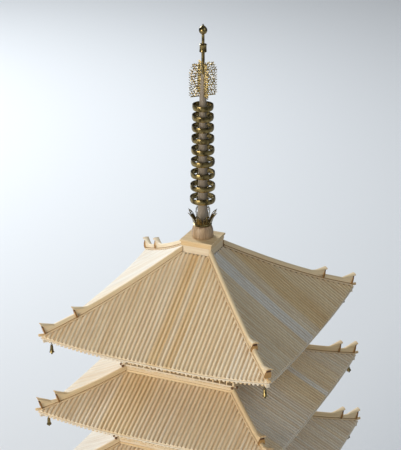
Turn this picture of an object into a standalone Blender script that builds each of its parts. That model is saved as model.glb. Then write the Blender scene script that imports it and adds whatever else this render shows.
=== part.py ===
# A wooden scale model of a five-storey pagoda, with a brass spire.
# Every length below is in millimetres and every height is above the ground.
import math

import bmesh
import bpy
from mathutils import Matrix

MM = 0.001
ROOT2 = math.sqrt(2.0)

# Driving dimensions of the tower
STOREYS = 5
STOREY_PITCH = 56.2
TOP_EAVE_HALF = 83.2
EAVE_GROWTH = 2.85
TOP_BODY_HALF = 27.1
BODY_GROWTH = 4.27
TOP_BALCONY_HALF = 41.4
BALCONY_GROWTH = 4.3
TOP_FLOOR_Z = 270.5
PODIUM_HEIGHT = 16.0
PODIUM_HALF = 60.0

# Roof surfaces
EAVE_ABOVE_FLOOR = 28.4
CORNER_LIFT = 4.5
ROOF_EDGE = 3.0
TOP_ROOF_RISE = 50.7
TOP_ROOF_HALF = 11.4
SKIRT_DROP = 5.2
SURFACE_GAP = 0.3
ROOF_SAG = 0.1
SIDE_FRACTIONS = (-1.0, -0.8, 0.0, 0.8)

# Rafters under the eaves
RAFTER_BREAK = 0.8
EAVES_INSET = 1.2
FLYING_DEPTH = 3.2
FLYING_SLOPE = 0.22
LOWER_DEPTH = 2.6
LOWER_SLOPE = 0.36

# Columns, brackets and balconies
COLUMN_RADIUS = 1.7
COLUMN_TOP_BELOW_EAVE = 10.4
PLATE_HEIGHT = 1.2
SILL_HEIGHT = 1.8
BRACKET_STEP = 5.0
BRACKET_WIDTH = 1.8
PURLIN_HEIGHT = 2.4
PURLIN_WIDTH = 1.8
PURLIN_OVERRUN = 2.0
FLOOR_PLATE = 1.3
RAIL_OVERRUN = 2.4
RAIL_OPENING = 6.0
TOP_RAIL_Z = 8.3

# Hip ridges
RIDGE_HEIGHT = 4.5
RIDGE_JOINT_HEIGHT = 3.2
RIDGE_END_HEIGHT = 7.0
RIDGE_WIDTH = 3.0
END_PLATE_WIDTH = 4.8
END_PLATE_HEIGHT = 4.4
NOSE_BEND = 5.6
NOSE_LENGTH = 2.6

# Spire, with heights above the top of the dew basin
BASIN_HALF = 12.1
DOME_HEIGHT = 8.8
LOTUS_HEIGHT = 10.0
SHAFT_TOP = 124.0
SHAFT_RADIUS = 3.55
SHAFT_NECK = 2.4
SHAFT_TIP = 1.1
FIRST_RING = 27.7
FIRST_RING_RADIUS = 8.7
LAST_RING_RADIUS = 7.05
RING_SPACING = 9.3
RING_SPACING_LOSS = 2.0 / 7.0
RINGS = 9
RING_HEIGHT = 3.3
RING_WALL = 0.8
RING_HUB_HEIGHT = 2.4
RING_HUB_SIDES = 8
FLAME_BASE = 100.2
FLAME_HEIGHT = 24.0
FLAME_REACH = 10.0
TIP_HEIGHT = 150.2

WOOD = ("pale_wood", (0.72, 0.58, 0.40), 0.62, 0.0)
BROWN_WOOD = ("brown_wood", (0.26, 0.11, 0.05), 0.45, 0.0)
BRASS = ("brass", (0.72, 0.52, 0.22), 0.32, 1.0)


def eave_half(storey):
    return TOP_EAVE_HALF + EAVE_GROWTH * (STOREYS - storey)


def body_half(storey):
    return TOP_BODY_HALF + BODY_GROWTH * (STOREYS - storey)


def balcony_half(storey):
    return TOP_BALCONY_HALF + BALCONY_GROWTH * (STOREYS - storey)


def balcony_floor(storey):
    return TOP_FLOOR_Z - STOREY_PITCH * (STOREYS - storey)


def body_base(storey):
    floor = PODIUM_HEIGHT if storey == 1 else balcony_floor(storey)
    return floor + SURFACE_GAP


def eave_z(storey):
    return balcony_floor(storey) + EAVE_ABOVE_FLOOR


def column_top(storey):
    return eave_z(storey) - COLUMN_TOP_BELOW_EAVE


def roof_top_half(storey):
    return TOP_ROOF_HALF if storey == STOREYS else balcony_half(storey + 1) - 0.3


def roof_top_z(storey):
    if storey == STOREYS:
        return eave_z(storey) + TOP_ROOF_RISE
    return balcony_floor(storey + 1) - SKIRT_DROP


def purlin_place(storey):
    return body_half(storey) + 3.0 * BRACKET_STEP


def flying_underside(storey, half):
    edge = eave_half(storey) - EAVES_INSET
    return eave_z(storey) - ROOF_EDGE - SURFACE_GAP - FLYING_DEPTH + FLYING_SLOPE * (edge - half)


def lower_underside(storey, half):
    break_half = RAFTER_BREAK * eave_half(storey)
    return flying_underside(storey, break_half) - LOWER_DEPTH + LOWER_SLOPE * (break_half - half)


def soffit_top(storey):
    return lower_underside(storey, body_half(storey)) + 8.0


def roof_surface(storey, half):
    """Height and corner lift of the roof surface where the square ring has this half width."""
    outer = eave_half(storey)
    rise = roof_top_z(storey) - eave_z(storey)
    q = (outer - half) / (outer - roof_top_half(storey))
    middle = eave_z(storey) + rise * ((1.0 - ROOF_SAG) * q + ROOF_SAG * q * q)
    lift = CORNER_LIFT * (half / outer) ** 3 * (1.0 - q * q)
    return middle, lift


def hip_z(storey, half):
    middle, lift = roof_surface(storey, half)
    return middle + lift


# Building helpers
def start():
    for item in list(bpy.data.objects):
        bpy.data.objects.remove(item)
    parts = bpy.data.collections.new("wooden_pagoda")
    cutters = bpy.data.collections.new("joined_pieces")
    bpy.context.scene.collection.children.link(parts)
    bpy.context.scene.collection.children.link(cutters)
    return parts, cutters


PARTS, CUTTERS = start()


def material_for(node, finish):
    name, colour, roughness, metallic = finish
    material = bpy.data.materials.new(node + "_" + name)
    material.use_nodes = True
    shader = material.node_tree.nodes["Principled BSDF"]
    shader.inputs["Base Color"].default_value = (*colour, 1.0)
    shader.inputs["Roughness"].default_value = roughness
    shader.inputs["Metallic"].default_value = metallic
    return material


def add_mesh_object(name, shape, collection):
    bmesh.ops.remove_doubles(shape, verts=shape.verts, dist=0.001)
    bmesh.ops.recalc_face_normals(shape, faces=shape.faces)
    bmesh.ops.scale(shape, vec=(MM, MM, MM), verts=shape.verts)
    mesh = bpy.data.meshes.new(name)
    shape.to_mesh(mesh)
    shape.free()
    item = bpy.data.objects.new(name, mesh)
    collection.objects.link(item)
    return item


def add_part(name, main, finish, joined=None):
    """Make one node from a main solid and, joined to it by a union, overlapping pieces."""
    part = add_mesh_object(name, main, PARTS)
    part.data.materials.append(material_for(name, finish))
    if joined is not None:
        tool = add_mesh_object(name + "_pieces", joined, CUTTERS)
        tool.hide_render = True
        tool.display_type = "WIRE"
        union = part.modifiers.new("join", "BOOLEAN")
        union.operation = "UNION"
        union.solver = "EXACT"
        union.use_self = True
        union.object = tool
        merge_flat_faces(part)
    return part


def merge_flat_faces(part):
    merge = part.modifiers.new("merge flat faces", "DECIMATE")
    merge.decimate_type = "DISSOLVE"
    merge.angle_limit = math.radians(0.2)


def add_turned_part(name, profile, finish, steps=16):
    """Turn a profile of (radius, height) points, top to bottom, about the upright axis."""
    mesh = bpy.data.meshes.new(name)
    points = [(radius * MM, 0.0, height * MM) for radius, height in profile]
    closed = profile[0][0] > 0.0
    edges = [(i, i + 1) for i in range(len(points) - 1)]
    if closed:
        edges.append((len(points) - 1, 0))
    mesh.from_pydata(points, edges, [])
    part = bpy.data.objects.new(name, mesh)
    PARTS.objects.link(part)
    part.data.materials.append(material_for(name, finish))
    screw = part.modifiers.new("turn", "SCREW")
    screw.steps = steps
    screw.render_steps = steps
    screw.use_merge_vertices = True
    screw.merge_threshold = 0.00001
    return part


def box(shape, centre, size, turn=0.0, pitch=0.0):
    """Add a box; turn is about the upright axis and pitch lifts its outer (+X) end."""
    matrix = (
        Matrix.Rotation(math.radians(turn), 4, "Z")
        @ Matrix.Translation(centre)
        @ Matrix.Rotation(-math.radians(pitch), 4, "Y")
        @ Matrix.Diagonal((*size, 1.0))
    )
    bmesh.ops.create_cube(shape, size=1.0, matrix=matrix)


def square_block(shape, half, bottom, top):
    box(shape, (0.0, 0.0, (bottom + top) / 2.0), (2.0 * half, 2.0 * half, top - bottom))


def post(shape, x, y, bottom, top, radius, sides, upper_radius=None):
    bmesh.ops.create_cone(
        shape,
        cap_ends=True,
        segments=sides,
        radius1=radius,
        radius2=radius if upper_radius is None else upper_radius,
        depth=top - bottom,
        matrix=Matrix.Translation((x, y, (bottom + top) / 2.0)),
    )


def upright_plate(shape, outline, thickness, turn, aside=0.0):
    """Add a flat outline of (distance from the axis, height), standing upright on a radius."""
    curve = bpy.data.curves.new("outline", "CURVE")
    curve.dimensions = "2D"
    curve.fill_mode = "BOTH"
    curve.extrude = thickness / 2.0
    spline = curve.splines.new("POLY")
    spline.points.add(len(outline) - 1)
    for point, (reach, height) in zip(spline.points, outline):
        point.co = (reach, height, 0.0, 1.0)
    spline.use_cyclic_u = True
    holder = bpy.data.objects.new("outline", curve)
    CUTTERS.objects.link(holder)
    bpy.context.view_layer.update()
    mesh = bpy.data.meshes.new_from_object(holder)
    bpy.data.objects.remove(holder)
    stand = Matrix.Rotation(math.radians(turn), 4, "Z") @ Matrix.Translation((0.0, aside, 0.0))
    stand = stand @ Matrix.Rotation(math.radians(90.0), 4, "X")
    mesh.transform(stand)
    shape.from_mesh(mesh)
    bpy.data.meshes.remove(mesh)


def square_loft(shape, rings):
    """Loft square rings of (half width, height at mid-side, corner lift) with capped ends."""
    loops = []
    for half, middle, lift in rings:
        loop = []
        for side in range(4):
            turn = Matrix.Rotation(math.radians(90.0 * side), 4, "Z")
            for fraction in SIDE_FRACTIONS:
                height = middle + lift * abs(fraction) ** 3
                loop.append(shape.verts.new(turn @ Matrix.Translation(
                    (fraction * half, -half, height)).translation))
        loops.append(loop)
    count = len(loops[0])
    for level in range(len(loops) - 1):
        inner, outer = loops[level], loops[level + 1]
        if rings[level][0] > rings[level + 1][0]:
            inner, outer = outer, inner
        for i in range(count):
            j = (i + 1) % count
            shape.faces.new((inner[i], outer[i], outer[j]))
            shape.faces.new((inner[i], outer[j], inner[j]))
    shape.faces.new(loops[0])
    shape.faces.new(loops[-1])


# Podium and storeys
def make_podium():
    main = bmesh.new()
    square_block(main, PODIUM_HALF, 0.0, PODIUM_HEIGHT - 1.0)
    joined = bmesh.new()
    square_block(joined, PODIUM_HALF + 2.0, 0.0, 2.5)
    square_block(joined, PODIUM_HALF + 2.0, PODIUM_HEIGHT - 2.5, PODIUM_HEIGHT)
    steps = 4
    tread = 3.6
    riser = PODIUM_HEIGHT / (steps + 1)
    face = PODIUM_HALF + 1.0
    outline = [(face - 6.0, 0.0)]
    for step in range(steps):
        reach = face + 1.0 + tread * (steps - step)
        outline.append((reach, riser * step))
        outline.append((reach, riser * (step + 1)))
    outline.append((face - 6.0, riser * steps))
    for side in range(4):
        upright_plate(joined, outline, 22.0, 90.0 * side)
        cheek = [(face - 6.0, 0.0), (face + 19.0, 0.0), (face + 19.0, 3.0), (face + 3.0, 15.4), (face - 6.0, 15.4)]
        for hand in (-1.0, 1.0):
            upright_plate(joined, cheek, 2.6, 90.0 * side, aside=hand * 12.0)
    add_part("podium", main, WOOD, joined)


def column_places(half):
    return [(x, y) for x in (-half, -half / 3.0, half / 3.0, half)
            for y in (-half, -half / 3.0, half / 3.0, half)
            if max(abs(x), abs(y)) > half - 0.1]


def make_body(storey):
    half = body_half(storey)
    base = body_base(storey)
    top = column_top(storey)
    main = bmesh.new()
    square_block(main, half - 0.6, base, top + 0.6)
    joined = bmesh.new()
    for x, y in column_places(half):
        post(joined, x, y, base + 1.0, top + 0.5, COLUMN_RADIUS, 8)
    square_block(joined, half + 2.0, base, base + SILL_HEIGHT)
    square_block(joined, half + 3.0, top, top + PLATE_HEIGHT)
    add_part(f"body_{storey}", main, WOOD, joined)


def make_brackets(storey):
    half = body_half(storey)
    base = column_top(storey) + PLATE_HEIGHT + SURFACE_GAP
    purlin_half = purlin_place(storey)
    purlin_top = lower_underside(storey, purlin_half + PURLIN_OVERRUN) - SURFACE_GAP
    purlin_base = purlin_top - PURLIN_HEIGHT
    tier = (purlin_base - base) / 3.0
    main = bmesh.new()
    square_block(main, half - 0.6, base, lower_underside(storey, half) - SURFACE_GAP)
    inner = half - 3.0
    middle = half + 1.5 * BRACKET_STEP
    reach = purlin_half + 0.4
    outline = [
        (inner, base), (half + 1.6, base), (middle, base + 1.1 * tier), (middle, base + 1.7 * tier),
        (reach, purlin_base - 0.3 * tier), (reach, purlin_base + 0.8), (inner, purlin_base + 0.8),
    ]
    joined = bmesh.new()
    for side in range(4):
        for aside in (-half / 3.0, half / 3.0):
            upright_plate(joined, outline, BRACKET_WIDTH, 90.0 * side, aside)
        corner = [(reach * ROOT2, height) for reach, height in outline]
        upright_plate(joined, corner, BRACKET_WIDTH, 90.0 * side + 45.0)
        long = 2.0 * (purlin_half + PURLIN_OVERRUN)
        box(joined, (purlin_half, 0.0, purlin_base + PURLIN_HEIGHT / 2.0),
            (PURLIN_WIDTH, long, PURLIN_HEIGHT), 90.0 * side)
    add_part(f"brackets_{storey}", main, WOOD, joined)


def add_bell(shape, reach, beam_bottom, turn):
    """Hang a bell from the corner beam, as one piece with its hook."""
    place = Matrix.Rotation(math.radians(turn), 4, "Z") @ Matrix.Translation((reach, 0.0, 0.0))
    x, y, _ = place.translation
    post(shape, x, y, beam_bottom - 3.8, beam_bottom + 1.0, 0.45, 4)
    post(shape, x, y, beam_bottom - 8.2, beam_bottom - 3.6, 1.5, 6, 0.95)


def make_eaves(storey):
    outer = eave_half(storey)
    inner = body_half(storey)
    break_half = RAFTER_BREAK * outer
    edge = outer - EAVES_INSET
    low_lift = CORNER_LIFT * RAFTER_BREAK ** 3
    edge_top = eave_z(storey) - ROOF_EDGE - SURFACE_GAP
    main = bmesh.new()
    square_loft(main, [
        (inner, lower_underside(storey, inner), 0.0),
        (break_half, lower_underside(storey, break_half), low_lift),
        (break_half, flying_underside(storey, break_half), low_lift),
        (edge, flying_underside(storey, edge), CORNER_LIFT),
        (edge, edge_top, CORNER_LIFT),
        (inner, soffit_top(storey), 0.0),
    ])
    joined = bmesh.new()
    upper_drop = 3.2
    for corner in range(4):
        turn = 45.0 + 90.0 * corner
        reach_in = break_half * ROOT2 - 8.0
        reach_out = edge * ROOT2 + 1.6
        z_in = flying_underside(storey, break_half) + low_lift
        z_out = flying_underside(storey, edge) + CORNER_LIFT
        pitch = math.degrees(math.atan2(z_out - z_in, (edge - break_half) * ROOT2))
        length = reach_out - reach_in
        middle = (reach_in + reach_out) / 2.0
        z_middle = z_in + (z_out - z_in) * (middle / ROOT2 - break_half) / (edge - break_half)
        box(joined, (middle, 0.0, z_middle + 0.6), (length, 2.8, upper_drop), turn, pitch)
        low_half = purlin_place(storey) + PURLIN_OVERRUN + 2.0
        low_in = low_half * ROOT2
        low_out = break_half * ROOT2 + 2.6
        z_end = lower_underside(storey, break_half) + low_lift
        z_start = z_end + (lower_underside(storey, inner) - z_end) * (break_half - low_half) / (break_half - inner)
        low_pitch = math.degrees(math.atan2(z_end - z_start, low_out - low_in))
        box(joined, ((low_in + low_out) / 2.0, 0.0, (z_start + z_end) / 2.0 + 0.3),
            (low_out - low_in, 3.0, 3.0), turn, low_pitch)
        bell_reach = edge * ROOT2 - 5.2
        beam_bottom = z_out - 5.2 * math.tan(math.radians(pitch)) + 0.6 - upper_drop / 2.0
        add_bell(joined, bell_reach, beam_bottom, turn)
    add_part(f"eaves_{storey}", main, WOOD, joined)


def make_roof(storey):
    outer = eave_half(storey)
    inner = body_half(storey)
    top_half = roof_top_half(storey)
    rings = [
        (inner, soffit_top(storey) + SURFACE_GAP, 0.0),
        (outer, eave_z(storey) - ROOF_EDGE, CORNER_LIFT),
    ]
    for share in (0.0, 0.15, 0.4, 0.7):
        half = outer + (top_half - outer) * share
        rings.append((half, *roof_surface(storey, half)))
    rings.append((top_half, roof_top_z(storey), 0.0))
    main = bmesh.new()
    square_loft(main, rings)
    add_part(f"roof_{storey}", main, WOOD)


def ridge_ends(storey):
    """Half widths at which the upper and the lower stage of a hip ridge end."""
    upper_gap = 18.0 if storey == STOREYS else 10.6
    return eave_half(storey) - upper_gap, eave_half(storey) - 1.8


def ridge_nose(storey, half):
    """Points of the bar that rises and juts out over the end of a ridge stage."""
    reach = half * ROOT2
    crown = hip_z(storey, half) + RIDGE_END_HEIGHT
    bend = half - NOSE_BEND / ROOT2
    return [
        (reach, crown - 1.6), (reach + NOSE_LENGTH, crown - 0.4),
        (reach + NOSE_LENGTH, crown + 0.9), (bend * ROOT2, hip_z(storey, bend) + RIDGE_HEIGHT),
    ]


def ridge_outline(storey, start_crown):
    """Side view of a whole hip ridge, as (distance from the axis, height)."""
    upper_end, lower_end = ridge_ends(storey)
    start = roof_top_half(storey) - 0.4
    middle = (start + upper_end) / 2.0
    under = [(half * ROOT2, hip_z(storey, half) + SURFACE_GAP)
             for half in (start, middle, upper_end, lower_end)]
    lower = ridge_nose(storey, lower_end)
    step = [(upper_end * ROOT2, hip_z(storey, upper_end) + RIDGE_JOINT_HEIGHT)]
    upper = ridge_nose(storey, upper_end)
    crown = [
        (middle * ROOT2, hip_z(storey, middle) + RIDGE_HEIGHT),
        (start * ROOT2, start_crown),
    ]
    return under + lower + step + upper + crown


def make_ridges(storey):
    top_half = roof_top_half(storey)
    top_z = roof_top_z(storey)
    is_top = storey == STOREYS
    wall = 2.0 if is_top else 1.2
    collar_top = top_z + (6.0 if is_top else SKIRT_DROP - FLOOR_PLATE - SURFACE_GAP)
    main = bmesh.new()
    joined = bmesh.new()
    centre = top_half - wall / 2.0
    collar_base = top_z + SURFACE_GAP
    middle_z = (collar_base + collar_top) / 2.0
    height = collar_top - collar_base
    box(main, (centre, 0.0, middle_z), (wall, 2.0 * top_half, height))
    for side in range(1, 4):
        box(joined, (centre, 0.0, middle_z), (wall, 2.0 * top_half, height), 90.0 * side)
    outline = ridge_outline(storey, collar_top - 0.4)
    for corner in range(4):
        turn = 45.0 + 90.0 * corner
        upright_plate(joined, outline, RIDGE_WIDTH, turn)
        for half in ridge_ends(storey):
            middle = hip_z(storey, half) + 1.0 + END_PLATE_HEIGHT / 2.0
            box(joined, (half * ROOT2 + 0.1, 0.0, middle), (1.4, END_PLATE_WIDTH, END_PLATE_HEIGHT), turn)
    add_part(f"ridges_{storey}", main, WOOD, joined)


def make_balcony(storey):
    half = balcony_half(storey)
    floor = balcony_floor(storey)
    main = bmesh.new()
    square_block(main, half - 1.8, floor - SKIRT_DROP + SURFACE_GAP, floor - 0.5)
    joined = bmesh.new()
    square_block(joined, half + 0.6, floor - FLOOR_PLATE, floor)
    end = half + RAIL_OVERRUN
    places = (RAIL_OPENING, (RAIL_OPENING + half) / 2.0)
    for side in range(4):
        turn = 90.0 * side
        box(joined, (half, 0.0, floor + 0.6), (1.4, 2.0 * end, 1.4), turn)
        for hand in (-1.0, 1.0):
            middle = hand * (RAIL_OPENING + end) / 2.0
            long = end - RAIL_OPENING + 0.8
            box(joined, (half, middle, floor + TOP_RAIL_Z), (1.4, long, 1.2), turn)
            for place in places:
                box(joined, (half, hand * place, floor + 4.6), (1.0, 1.2, TOP_RAIL_Z - 1.0), turn)
        box(joined, (half, half, floor + 4.6), (1.0, 1.0, TOP_RAIL_Z - 1.0), turn)
    add_part(f"balcony_{storey}", main, WOOD, joined)


# Spire
def basin_top():
    return roof_top_z(STOREYS) + 10.2


def make_dew_basin():
    base = roof_top_z(STOREYS)
    top = basin_top()
    main = bmesh.new()
    square_block(main, TOP_ROOF_HALF - 2.3, base + SURFACE_GAP, base + 7.5)
    joined = bmesh.new()
    square_block(joined, TOP_ROOF_HALF, base + 6.0 + SURFACE_GAP, top - 1.0)
    square_block(joined, BASIN_HALF, top - 1.4, top)
    add_part("dew_basin", main, WOOD, joined)


def make_dome():
    base = basin_top() + SURFACE_GAP
    profile = [(0.0, base + DOME_HEIGHT - SURFACE_GAP)]
    for step in range(5):
        angle = math.radians(90.0 * (1.0 - step / 4.0))
        radius = 6.2 + 1.3 * math.cos(angle)
        profile.append((radius - 0.5 * (step == 0), base + 0.8 + (DOME_HEIGHT - 1.1) * math.sin(angle)))
    profile.append((7.5, base))
    profile.append((0.0, base))
    add_turned_part("dome", profile, BROWN_WOOD)


def make_lotus():
    """Open flower of petals round the foot of the shaft."""
    base = basin_top() + DOME_HEIGHT + SURFACE_GAP
    profile = [
        (0.0, base + 2.0), (4.6, base + 2.0), (5.6, base + 4.2), (8.6, base + LOTUS_HEIGHT),
        (9.4, base + LOTUS_HEIGHT), (6.6, base + 3.4), (6.3, base + 1.6), (6.3, base), (0.0, base),
    ]
    add_turned_part("lotus_petals", profile, BRASS, 16)


def shaft_radius(height):
    share = (height - DOME_HEIGHT) / (FLAME_BASE - 2.0 - DOME_HEIGHT)
    return SHAFT_RADIUS + (SHAFT_NECK - SHAFT_RADIUS) * min(share, 1.0)


def make_shaft():
    base = basin_top()
    profile = [
        (0.0, base + SHAFT_TOP), (SHAFT_TIP, base + SHAFT_TOP), (SHAFT_NECK, base + FLAME_BASE),
        (SHAFT_RADIUS, base + DOME_HEIGHT + 2.6), (0.0, base + DOME_HEIGHT + 2.6),
    ]
    add_turned_part("spire_shaft", profile, WOOD, 16)


def ring_height(number):
    return FIRST_RING + sum(RING_SPACING - RING_SPACING_LOSS * step for step in range(number - 1))


def make_ring(number):
    """One ring of the spire: a thin band on four spokes from a hub round the shaft."""
    middle = basin_top() + ring_height(number)
    share = (number - 1) / (RINGS - 1)
    outer = FIRST_RING_RADIUS + (LAST_RING_RADIUS - FIRST_RING_RADIUS) * share
    bore = (shaft_radius(ring_height(number) - RING_HUB_HEIGHT) + SURFACE_GAP) / math.cos(math.pi / RING_HUB_SIDES)
    low = middle - RING_HEIGHT / 2.0
    high = middle + RING_HEIGHT / 2.0
    name = f"ring_{number}"
    inner = outer - RING_WALL
    band = add_turned_part(name, [(outer, high), (outer, low), (inner, low), (inner, high)], BRASS, 16)
    tool = bmesh.new()
    for side in range(4):
        box(tool, ((bore + 0.4 + outer - 0.4) / 2.0, 0.0, middle), (outer - bore - 0.8, 1.2, 1.4), 90.0 * side)
    spokes = add_mesh_object(name + "_spokes", tool, CUTTERS)
    hub = add_turned_part(name + "_hub", [
        (bore + 0.9, middle + RING_HUB_HEIGHT / 2.0), (bore + 0.9, middle - RING_HUB_HEIGHT / 2.0),
        (bore, middle - RING_HUB_HEIGHT / 2.0), (bore, middle + RING_HUB_HEIGHT / 2.0)], BRASS, RING_HUB_SIDES)
    PARTS.objects.unlink(hub)
    CUTTERS.objects.link(hub)
    for tool_object in (spokes, hub):
        tool_object.hide_render = True
        tool_object.display_type = "WIRE"
        union = band.modifiers.new("join", "BOOLEAN")
        union.operation = "UNION"
        union.solver = "EXACT"
        union.object = tool_object
    merge_flat_faces(band)


def make_flame_panels():
    """Four upright flame-shaped plates on a collar round the neck of the shaft."""
    base = basin_top() + FLAME_BASE
    top = base + FLAME_HEIGHT
    bore = SHAFT_NECK + SURFACE_GAP
    outline = [
        (bore + 0.3, base), (FLAME_REACH, base + 0.4), (FLAME_REACH - 0.4, base + 12.0),
        (FLAME_REACH + 0.6, base + 17.0), (6.2, top), (4.6, top - 1.6), (bore + 0.3, base + 20.0),
    ]
    collar = [(bore + 0.9, base + 2.4), (bore + 0.9, base), (bore, base), (bore, base + 2.4)]
    part = add_turned_part("flame_panels", collar, BRASS, 12)
    panels = bmesh.new()
    for side in range(4):
        upright_plate(panels, outline, 0.7, 45.0 + 90.0 * side)
    tool = add_mesh_object("flame_panels_plates", panels, CUTTERS)
    tool.hide_render = True
    tool.display_type = "WIRE"
    union = part.modifiers.new("join", "BOOLEAN")
    union.operation = "UNION"
    union.solver = "EXACT"
    union.object = tool
    merge_flat_faces(part)


def make_finial_tip():
    """Thin rod with the round block and, above it, the jewel with its pointed tip."""
    base = basin_top()
    profile = [(0.0, base + TIP_HEIGHT)]
    jewel = base + 146.2
    for step in range(1, 6):
        angle = math.radians(25.0 + 145.0 * step / 6.0)
        profile.append((2.9 * math.sin(angle), jewel + 2.9 * math.cos(angle)))
    block = base + 133.3
    profile += [
        (1.2, jewel - 3.2), (1.2, block + 3.4), (2.75, block + 2.6),
        (2.75, block - 2.6), (1.2, block - 3.4),
        (1.2, base + SHAFT_TOP + SURFACE_GAP), (0.0, base + SHAFT_TOP + SURFACE_GAP),
    ]
    add_turned_part("finial_tip", profile, BRASS, 12)


make_podium()
for level in range(1, STOREYS + 1):
    make_body(level)
    make_brackets(level)
    make_eaves(level)
    make_roof(level)
    make_ridges(level)
    if level > 1:
        make_balcony(level)
make_dew_basin()
make_dome()
make_lotus()
make_shaft()
for ring_number in range(1, RINGS + 1):
    make_ring(ring_number)
make_flame_panels()
make_finial_tip()
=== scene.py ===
"""Looks of a wooden model pagoda: ribbed roofs, brackets, railings and a brass spire.

Lengths are in millimetres and heights are above the ground, unless a name says otherwise.
"""

import random
from math import atan2, cos, degrees, hypot, pi, radians, sin, sqrt, tan

import bpy
from mathutils import Matrix, Vector


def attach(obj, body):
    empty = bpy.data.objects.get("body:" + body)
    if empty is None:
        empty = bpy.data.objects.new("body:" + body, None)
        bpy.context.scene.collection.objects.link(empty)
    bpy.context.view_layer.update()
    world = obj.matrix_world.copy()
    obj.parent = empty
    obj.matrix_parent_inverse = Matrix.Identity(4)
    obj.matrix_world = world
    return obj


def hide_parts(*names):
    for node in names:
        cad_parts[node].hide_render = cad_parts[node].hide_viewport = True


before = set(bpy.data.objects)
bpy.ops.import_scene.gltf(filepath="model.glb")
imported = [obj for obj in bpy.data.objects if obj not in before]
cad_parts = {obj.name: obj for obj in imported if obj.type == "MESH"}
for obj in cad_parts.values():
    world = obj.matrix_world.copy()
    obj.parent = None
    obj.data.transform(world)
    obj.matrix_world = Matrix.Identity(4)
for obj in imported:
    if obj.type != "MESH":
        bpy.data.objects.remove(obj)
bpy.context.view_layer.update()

MM = 0.001
ROOT2 = sqrt(2.0)
CORNERS = (45, 135, 225, 315)
DRAW = random.Random(7)

# Driving dimensions of the tower, the same as the frame's
STOREYS = 5
STOREY_PITCH = 56.2
TOP_EAVE_HALF = 83.2
EAVE_GROWTH = 2.85
TOP_BODY_HALF = 27.1
BODY_GROWTH = 4.27
TOP_BALCONY_HALF = 41.4
BALCONY_GROWTH = 4.3
TOP_FLOOR_Z = 270.5
PODIUM_HEIGHT = 16.0
PODIUM_HALF = 60.0
PODIUM_PANELS = 10
COURSE_WIDTH = 8.0
STAIR_STEPS = 4
STAIR_TREAD = 3.6
STAIR_WIDTH = 21.4

# Roof surfaces
EAVE_ABOVE_FLOOR = 28.4
CORNER_LIFT = 4.5
TOP_ROOF_RISE = 50.7
TOP_ROOF_HALF = 11.4
SKIRT_DROP = 5.2
ROOF_BACK_STEPS = 4
ROOF_SAG = 0.1
RIB_PITCH = 3.0
RIB_RADIUS = 1.05
RIB_STEPS = 8
RIBS_PER_BOARD = 19
RIB_END = 0.4
TILE_BOARD = 0.9
SLAB_REACH = 4.0
ROOF_ROWS = 8
TOP_ROOF_ROWS = 12
# Scorch colour laid in the valleys between roof ribs as painted shade
GROOVE_PAINTED_SHADE = 0.17

# Tones of the roof boards by side, the palest on the left slopes as a painted highlight, and (start, end,
# tone) strips along the slopes in view
SIDE_TONE_AND_PAINTED_HIGHLIGHT = (0.42, 0.3, 0.3, 0.06)
TONE_SPREAD = 0.16
BOARD_BANDS = {
    (5, 0): [(-4.0, 3.0, 0.85), (3.0, 8.0, 0.5), (8.0, 14.0, 0.75)],
    (5, 1): [(-84.0, -12.5, 0.4), (-12.5, -0.5, 0.0), (-0.5, 12.0, 0.35), (12.0, 34.0, 0.78),
             (34.0, 84.0, 0.6)],
    (4, 0): [(-87.0, -40.0, 0.36), (-40.0, -16.0, 0.55), (-16.0, 87.0, 0.4)],
    (4, 1): [(4.0, 22.0, 0.55), (22.0, 28.0, 0.0)],
}

# Rafters under the eaves
RAFTER_BREAK = 0.8
EAVES_INSET = 1.2
EAVE_DEPTH = 3.9
FLYING_SLOPE = 0.22
LOWER_DEPTH = 2.6
LOWER_SLOPE = 0.36
RAFTER_WIDTH = 1.6
FLYING_HEIGHT = 1.7
LOWER_HEIGHT = 1.9
SOFFIT_THICKNESS = 0.6
BEAM_HEIGHT = 3.2
SIDE_STEPS = 16

# Wind bells, as (radius, height) points below the hook
BELL_PROFILE = [(0.05, -3.2), (0.7, -3.4), (1.0, -4.0), (1.12, -5.8), (1.32, -7.4), (1.75, -8.5),
                (1.6, -8.6), (1.1, -7.2), (0.05, -6.0)]
CLAPPER_PROFILE = [(0.22, -5.8), (0.22, -9.0), (0.75, -9.2), (0.55, -10.0), (0.05, -10.2)]

# Columns, brackets and balconies
COLUMN_RADIUS = 1.7
COLUMN_TOP_BELOW_EAVE = 10.4
PLATE_HEIGHT = 1.2
SILL_HEIGHT = 1.8
BRACKET_STEP = 5.0
BRACKET_STEPS = 3
TAIL_SLOPE = degrees(atan2(-2.4, 14.0))
SLAT_PITCH = 2.4
PURLIN_HEIGHT = 2.4
WALL_BOARDS = 12
FLOOR_PLATE = 1.3
FLOOR_BOARD = 2.4
RAIL_OVERRUN = 3.0
RAIL_OPENING = 6.0
RAIL_PITCH = 4.7
TOP_RAIL_Z = 8.3
CROSSING_GAP = 0.06

# Hip ridges
RIDGE_WIDTH = 2.7
RIDGE_HEIGHT = 4.9
JOINT_HEIGHT = 2.9
TOP_JOINT_HEIGHT = 4.3
NOSE_BEND = 6.2
NOSE_RISE = 0.54
NOSE_LENGTH = 3.3
RIDGE_BASE_WIDTH = 4.3
PLATE_TALL = 5.6
PLATE_LEAN = 18.0
HIP_STEPS = 20
NOSE_STEPS = 12

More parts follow.
